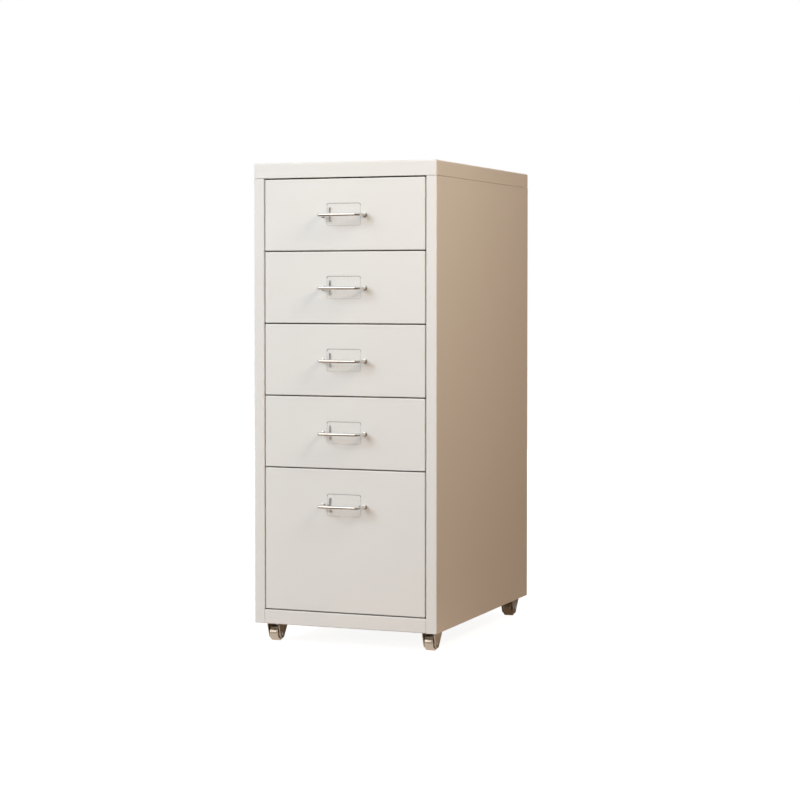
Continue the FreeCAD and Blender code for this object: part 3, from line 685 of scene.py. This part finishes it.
for drawer in drawers:
    refined(f"{drawer}_front", body_paint)
    refined(f"{drawer}_tray", tray_paint, edge_round=0.15 * mm)
    refined(f"{drawer}_glides", white_plastic)
    label_holder(f"{drawer}_label_holder")
    for side in ("right", "left"):
        refined(f"{drawer}_{side}_runner", zinc_sheet)
print("drawers:", len(drawers), "with their runners, glides and label holders")

# %% [markdown]
# ## Turned pieces
# Screws, rivets, collars and wheels are all turned shapes, so one helper turns a profile about its
# axis. A modifier could spin it too, but here each point also keeps its distance along the profile, in
# the turning attribute, which the rings of the metal finish follow. Past the end of a closed profile
# that distance falls back to 0 within the first stretch, so that stretch is a short or a hidden one.


# %% The lathe
def turn_profile(profile, segments):
    """Turns a (radius, height) profile about Z. A point on the axis is a single one, and a profile that
    ends where it began is closed."""
    mesh = bmesh.new()
    layer = mesh.verts.layers.float.new("turning")
    angles = [math.tau * step / segments for step in range(segments)]
    rings, travelled = [], 0.0
    for index, (radius, height) in enumerate(profile):
        if index:
            travelled += math.dist(profile[index - 1], profile[index])
        if index and profile[index] == profile[0]:
            ring = rings[0]
        else:
            ring = [mesh.verts.new((radius * math.cos(angle), radius * math.sin(angle), height))
                    for angle in (angles if radius else angles[:1])]
        for point in ring:
            point[layer] = travelled
        rings.append(ring)
    for before, after in zip(rings, rings[1:]):
        for step in range(segments):
            around = ((before, step), (before, step + 1), (after, step + 1), (after, step))
            corners = [ring[place % len(ring)] for ring, place in around]
            # At the axis two of the four corners are one point, which a face takes once.
            mesh.faces.new(list(dict.fromkeys(corners)))
    bmesh.ops.recalc_face_normals(mesh, faces=mesh.faces)
    return mesh


def quarter_round(radius, height, steps, fullness=1.0):
    """A dome's (radius, height) points, from its rim at height 0 up to its top at radius 0."""
    angles = [math.radians(90 * step / steps) for step in range(steps + 1)]
    return [(radius * math.cos(angle) ** fullness, height * math.sin(angle)) for angle in angles]


# %% [markdown]
# ## Like pieces at many places
# One Geometry Nodes tree puts a copy of a small object at each point of a host mesh. The host's
# facing attribute says which way a copy's +Z points, and each copy gets its own turn about that axis,
# from a fixed seed, as screws stop at different angles. A loop could place the copies as well, but the
# tree keeps their shape, places and turns apart, and joins them to one plain mesh.


# %% The copying tree
def geometry_tree(name, inputs):
    """A Geometry Nodes tree whose inputs start with its mesh and end with its finish."""
    sockets = [("Geometry", "Geometry"), *inputs, ("Finish", "Material")]
    return node_group(name, sockets, [("Geometry", "Geometry")], "GeometryNodeTree")


def close_tree(tree, start, end, geometry):
    """Makes what the tree built real and gives it its finish, because an export drops instances."""
    real = new_node(tree, "GeometryNodeRealizeInstances", (500, 0), geometry)
    finish = new_node(tree, "GeometryNodeSetMaterial", (700, 0), Geometry=real, Material=start["Finish"])
    feed_inputs(tree, end, Geometry=finish)
    return tree


def copying_tree():
    """Copies of an item at a mesh's points. Input 3 and output 1 of the random node are for floats."""
    tree, start, end = geometry_tree("copies_at_points", [("Item", "Object"), ("Largest turn", "Float"),
                                                          ("Seed", "Int")])
    item = new_node(tree, "GeometryNodeObjectInfo", (-700, 200), Object=start["Item"])
    facing = new_node(tree, "GeometryNodeInputNamedAttribute", (-700, -100), data_type="FLOAT_VECTOR",
                      Name="facing")
    aim = new_node(tree, "FunctionNodeAlignRotationToVector", (-450, -100), axis="Z",
                   Vector=facing.outputs["Attribute"])
    turn = new_node(tree, "FunctionNodeRandomValue", (-450, -350), data_type="FLOAT", Seed=start["Seed"])
    feed(tree, turn.inputs[3], start["Largest turn"])
    spin = new_node(tree, "FunctionNodeAxisAngleToRotation", (-200, -350), Axis=(0, 0, 1),
                    Angle=turn.outputs[1])
    rotate = new_node(tree, "FunctionNodeRotateRotation", (50, -200), rotation_space="LOCAL",
                      Rotation=aim, Rotate_By=spin)
    placed = new_node(tree, "GeometryNodeInstanceOnPoints", (300, 0), Points=start["Geometry"],
                      Instance=item.outputs["Geometry"], Rotation=rotate)
    return close_tree(tree, start, end, placed)


copies_at_points = copying_tree()


# %% From a host to a plain mesh
def plain_mesh(host, name):
    """The evaluated object as a plain mesh object. The host is removed."""
    evaluated = host.evaluated_get(bpy.context.evaluated_depsgraph_get())
    data = bpy.data.meshes.new_from_object(evaluated)
    data.name = name
    piece = add_object(name, data)
    bpy.data.objects.remove(host)
    return piece


def run_tree(mesh, tree, name, **values):
    """Runs a tree on a mesh. Each value goes to the identifier of the input that has its name."""
    host = add_object(name + "_host", mesh)
    modifier = host.modifiers.new("tree", "NODES")
    modifier.node_group = tree
    for item in tree.interface.items_tree:
        label = item.name.replace(" ", "_")
        if item.in_out == "INPUT" and label in values:
            modifier[item.identifier] = values[label]
    return plain_mesh(host, name)


def copies(item, places, name, finish, largest_turn=0.0, seed=1):
    """Copies of an item at (place, facing) pairs, joined to one mesh."""
    points = bpy.data.meshes.new(name + "_places")
    points.from_pydata([place for place, facing in places], [], [])
    layer = points.attributes.new("facing", "FLOAT_VECTOR", "POINT")
    for index, (place, facing) in enumerate(places):
        layer.data[index].vector = facing
    return run_tree(points, copies_at_points, name, Item=item, Largest_turn=largest_turn, Seed=seed,
                    Finish=finish)


# %% [markdown]
# ## Screws
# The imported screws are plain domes. The real ones are pan heads with a cross recess over a threaded
# shank. An image could fake the cross, but light only falls into a real recess. So one screw of each
# size is turned and its cross is cut out, and the copying tree puts it where each packed screw is: the
# odd one of the box's three sizes is the screw's axis.


# %% One screw
def cross_cutter(size, depth):
    """A tapered cross: narrow at its foot, and widest above the head that it cuts."""
    arm, width = size / 2, size / 5
    foot_share, top_share = 0.45, 1.25
    levels = ((foot_share, -depth), (top_share, depth))
    mesh = bmesh.new()
    outline = [(arm, width / 2), (width / 2, width / 2), (width / 2, arm)]
    points = []
    for quarter in range(4):
        turn = Matrix.Rotation(quarter * math.pi / 2, 2)
        points += [turn @ Vector(point) for point in outline]
    rings = [[mesh.verts.new((p.x * grow, p.y * grow, height)) for p in points] for grow, height in levels]
    for index in range(len(points)):
        after = (index + 1) % len(points)
        mesh.faces.new((rings[0][index], rings[0][after], rings[1][after], rings[1][index]))
    mesh.faces.new(list(reversed(rings[0])))
    mesh.faces.new(rings[1])
    bmesh.ops.recalc_face_normals(mesh, faces=mesh.faces)
    return mesh


def reshade(piece, degrees):
    """Shades a finished object by its angles."""
    mesh = bmesh.new()
    mesh.from_mesh(piece.data)
    shade_by_angle(mesh, degrees)
    mesh.to_mesh(piece.data)
    mesh.free()


def cross_head_screw(name, head_radius, head_height, thread_radius, length, pitch):
    """A screw at the origin: its head above the seat, along +Z, and its threaded shank below."""
    root_radius = thread_radius * 0.84
    dome = quarter_round(head_radius, head_height, 6, fullness=0.7)[::-1]
    profile = [(0, dome[0][1])] + dome[1:-1] + [(head_radius, head_height * 0.12), (head_radius, 0)]
    crest = -0.85 * pitch
    profile += [(thread_radius, 0), (thread_radius, crest)]
    while crest > -length + 1.15 * pitch:
        profile += [(root_radius, crest - pitch / 2), (thread_radius, crest - pitch)]
        crest -= pitch
    profile += [(root_radius, -length), (0, -length)]
    item = object_from(turn_profile(profile, 32), name)
    cutter = object_from(cross_cutter(head_radius * 1.15, head_height * 0.75), name + "_cross")
    cutter.data.transform(Matrix.Translation((0, 0, head_height)))
    cut = item.modifiers.new("cross", "BOOLEAN")
    cut.object = cutter
    cut.solver = "EXACT"
    screw = plain_mesh(item, name)
    bpy.data.objects.remove(cutter)
    reshade(screw, 35)
    return screw


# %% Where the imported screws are
def islands(node):
    """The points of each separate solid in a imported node, always in the same order."""
    mesh = merged_mesh(node)
    found, seen = [], set()
    for first in mesh.verts:
        if first in seen:
            continue
        seen.add(first)
        group = [first]
        for point in group:
            others = [edge.other_vert(point) for edge in point.link_edges]
            fresh = [other for other in others if other not in seen]
            seen.update(fresh)
            group += fresh
        found.append([point.co.copy() for point in group])
    mesh.free()
    return found


def screw_seats(node, head_height):
    """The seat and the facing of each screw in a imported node. Its widest points are the head's."""
    seats = []
    for points in islands(node):
        low = Vector([min(p[i] for p in points) for i in range(3)])
        high = Vector([max(p[i] for p in points) for i in range(3)])
        size, middle = high - low, (low + high) / 2
        gaps = [abs(size[(i + 1) % 3] - size[(i + 2) % 3]) for i in range(3)]
        axis = gaps.index(min(gaps))
        across = [i for i in range(3) if i != axis]
        head = [p for p in points
                if math.hypot(*[p[i] - middle[i] for i in across]) > 0.45 * size[across[0]]]
        way = 1 if sum(p[axis] for p in head) / len(head) > middle[axis] else -1
        facing = Vector((0, 0, 0))
        facing[axis] = way
        seat = middle.copy()
        seat[axis] = (high if way > 0 else low)[axis] - way * head_height
        seats.append((seat, facing))
    return seats


panel_head = 1.2 * mm
panel_screw = cross_head_screw("panel_screw", head_radius=4 * mm, head_height=panel_head,
                               thread_radius=2 * mm, length=5.5 * mm, pitch=0.7 * mm)
places = screw_seats("panel_screws", panel_head)
screws = copies(panel_screw, places, "cross_head_panel_screws", zinc_screw, largest_turn=math.pi, seed=4)
finish_piece(screws, "panel_screws", zinc_screw)
bpy.data.objects.remove(panel_screw)
print("panel screws:", len(places), "copies,", len(screws.data.polygons), "faces")

pull_head = 2 * mm
pull_screw = cross_head_screw("pull_screw", head_radius=3 * mm, head_height=pull_head,
                              thread_radius=1.5 * mm, length=8.5 * mm, pitch=0.5 * mm)
for number, drawer in enumerate(drawers):
    node = f"{drawer}_handle_screws"
    places = screw_seats(node, pull_head)
    screws = copies(pull_screw, places, f"{drawer}_pull_screws", zinc_screw, math.pi, seed=10 + number)
    finish_piece(screws, node, zinc_screw)
bpy.data.objects.remove(pull_screw)
print("pull screws:", len(places), "to a drawer")

# %% [markdown]
# ## The pulls
# Each pull is one chromed wire, bent twice, with a small turned collar where it meets the front. A
# curve object with a round bevel would do for one pull. For five, a Geometry Nodes tree takes a path of
# four corners, rounds them, sweeps the wire along and closes its ends, with both radii as inputs. The
# collars are copies of one turned ring, joined to the wire.

# %% The bent wire
wire_radius = 2.5 * mm
wire_bend = 6 * mm
collar_radius = 3.8 * mm
collar_height = 1.4 * mm


def wire_tree():
    """A round wire that follows a path of straight edges, with a bend in place of each corner."""
    tree, start, end = geometry_tree("bent_wire", [("Wire radius", "Float"), ("Bend radius", "Float")])
    path = new_node(tree, "GeometryNodeMeshToCurve", (-550, 100), Mesh=start["Geometry"])
    bends = new_node(tree, "GeometryNodeFilletCurve", (-300, 100), mode="POLY", Curve=path, Count=14,
                     Radius=start["Bend radius"])
    section = new_node(tree, "GeometryNodeCurvePrimitiveCircle", (-300, -200), Resolution=28,
                       Radius=start["Wire radius"])
    wire = new_node(tree, "GeometryNodeCurveToMesh", (0, 0), Curve=bends, Profile_Curve=section,
                    Fill_Caps=True)
    return close_tree(tree, start, end, wire)


def collar_item():
    """A turned collar, domed towards the wire. Its foot is at the origin and it points along +Z."""
    inner, foot = wire_radius - 0.05 * mm, 0.25 * mm
    dome = quarter_round(collar_radius - inner, collar_height - foot, 8)
    outer = [(inner + radius, foot + height) for radius, height in dome]
    mesh = turn_profile([(inner, 0), (collar_radius, 0), *outer, (inner, 0)], 32)
    shade_by_angle(mesh, 40)
    return object_from(mesh, "collar")


def join_meshes(pieces, name):
    """One object from several, each already in place."""
    whole = bmesh.new()
    for piece in pieces:
        whole.from_mesh(piece.data)
        bpy.data.objects.remove(piece)
    return object_from(whole, name)


# %% One pull to a drawer
bent_wire = wire_tree()
collar = collar_item()
for drawer in drawers:
    node = f"{drawer}_handle"
    low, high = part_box(node)
    foot_x = high.x - collar_radius
    bar_y, foot_y, z = low.y + wire_radius, high.y, (low.z + high.z) / 2
    path = bpy.data.meshes.new(node + "_path")
    path.from_pydata([(-foot_x, foot_y, z), (-foot_x, bar_y, z), (foot_x, bar_y, z), (foot_x, foot_y, z)],
                     [(0, 1), (1, 2), (2, 3)], [])
    wire = run_tree(path, bent_wire, node + "_bar", Wire_radius=wire_radius, Bend_radius=wire_bend,
                    Finish=chrome)
    feet = [((x, foot_y, z), (0, -1, 0)) for x in (-foot_x, foot_x)]
    collars = copies(collar, feet, node + "_collars", chrome)
    pull = join_meshes([wire, collars], f"{drawer}_pull")
    reshade(pull, 40)
    finish_piece(pull, node, chrome)
print("pull:", round((high.x - low.x) / mm, 1), "mm wide, bar", round((foot_y - bar_y) / mm, 1), "mm out")
bpy.data.objects.remove(collar)

# %% [markdown]
# ## The casters
# Each caster is a folded fork that swivels on a riveted stem, with one turned wheel on a rivet. The
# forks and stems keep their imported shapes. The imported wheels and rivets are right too, but their round
# sides are coarse, so they are turned afresh: a wheel has rounded shoulders, a recessed face and a
# stand-off hub, and a rivet a low domed head at each end.

# %% Wheels and rivets
wheel_half, wheel_shoulder = 6.5 * mm, 1.0 * mm
rim_wall, face_depth, hub_radius, bore_radius = 2.6 * mm, 1.2 * mm, 4.4 * mm, 2.1 * mm
rim_slope, fine_edge = 0.4 * mm, 0.3 * mm
pin_radius, rivet_head = 2.0 * mm, 1.0 * mm


def set_on_axle(mesh, node, degrees, name):
    """Lays a turned mesh along X, in the middle of the node's box, and makes it an object."""
    low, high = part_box(node)
    shade_by_angle(mesh, degrees)
    place = Matrix.Translation((low + high) / 2) @ Matrix.Rotation(math.pi / 2, 4, "Y")
    bmesh.ops.transform(mesh, matrix=place, verts=mesh.verts)
    return object_from(mesh, name)


def turned_wheel(node):
    """One side of the wheel, from its tread to its bore, and the same again mirrored."""
    low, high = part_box(node)
    radius, hub_half = (high.z - low.z) / 2, (high.x - low.x) / 2
    face, recess = radius - rim_wall, wheel_half - face_depth
    side = [(radius - wheel_shoulder + r, wheel_half - wheel_shoulder + h)
            for r, h in quarter_round(wheel_shoulder, wheel_shoulder, 5)]
    side += [(face, wheel_half), (face - rim_slope, recess), (hub_radius + fine_edge, recess),
             (hub_radius, recess + fine_edge), (hub_radius, hub_half - fine_edge),
             (hub_radius - fine_edge, hub_half), (bore_radius, hub_half)]
    profile = side + [(r, -h) for r, h in reversed(side)] + side[:1]
    return set_on_axle(turn_profile(profile, 64), node, 32, node + "_turned")


def rivet(node):
    """A pin with a low domed head at each end."""
    low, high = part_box(node)
    reach, head_radius = (high.x - low.x) / 2, (high.z - low.z) / 2
    seat = reach - rivet_head
    dome = [(r, seat + h) for r, h in quarter_round(head_radius, rivet_head, 6)]
    upper = [(pin_radius, seat), (head_radius, seat)] + dome[1:-1] + [(0, reach)]
    profile = [(r, -h) for r, h in reversed(upper)] + upper
    return set_on_axle(turn_profile(profile, 32), node, 35, node + "_rivet")


for corner in corners:
    wheel = finish_piece(turned_wheel(f"{corner}_wheel"), f"{corner}_wheel", nickel_wheel)
    finish_piece(rivet(f"{corner}_axle"), f"{corner}_axle", zinc_screw)
    refined(f"{corner}_fork", nickel_sheet)
    print(corner, "wheel:", len(wheel.data.polygons), "faces")
refined("caster_stems", zinc_sheet)

# %% [markdown]
# Last, the colours are shown plainly, without a film-like tone curve.

# %% The view transform
scene.view_settings.view_transform = "Standard"
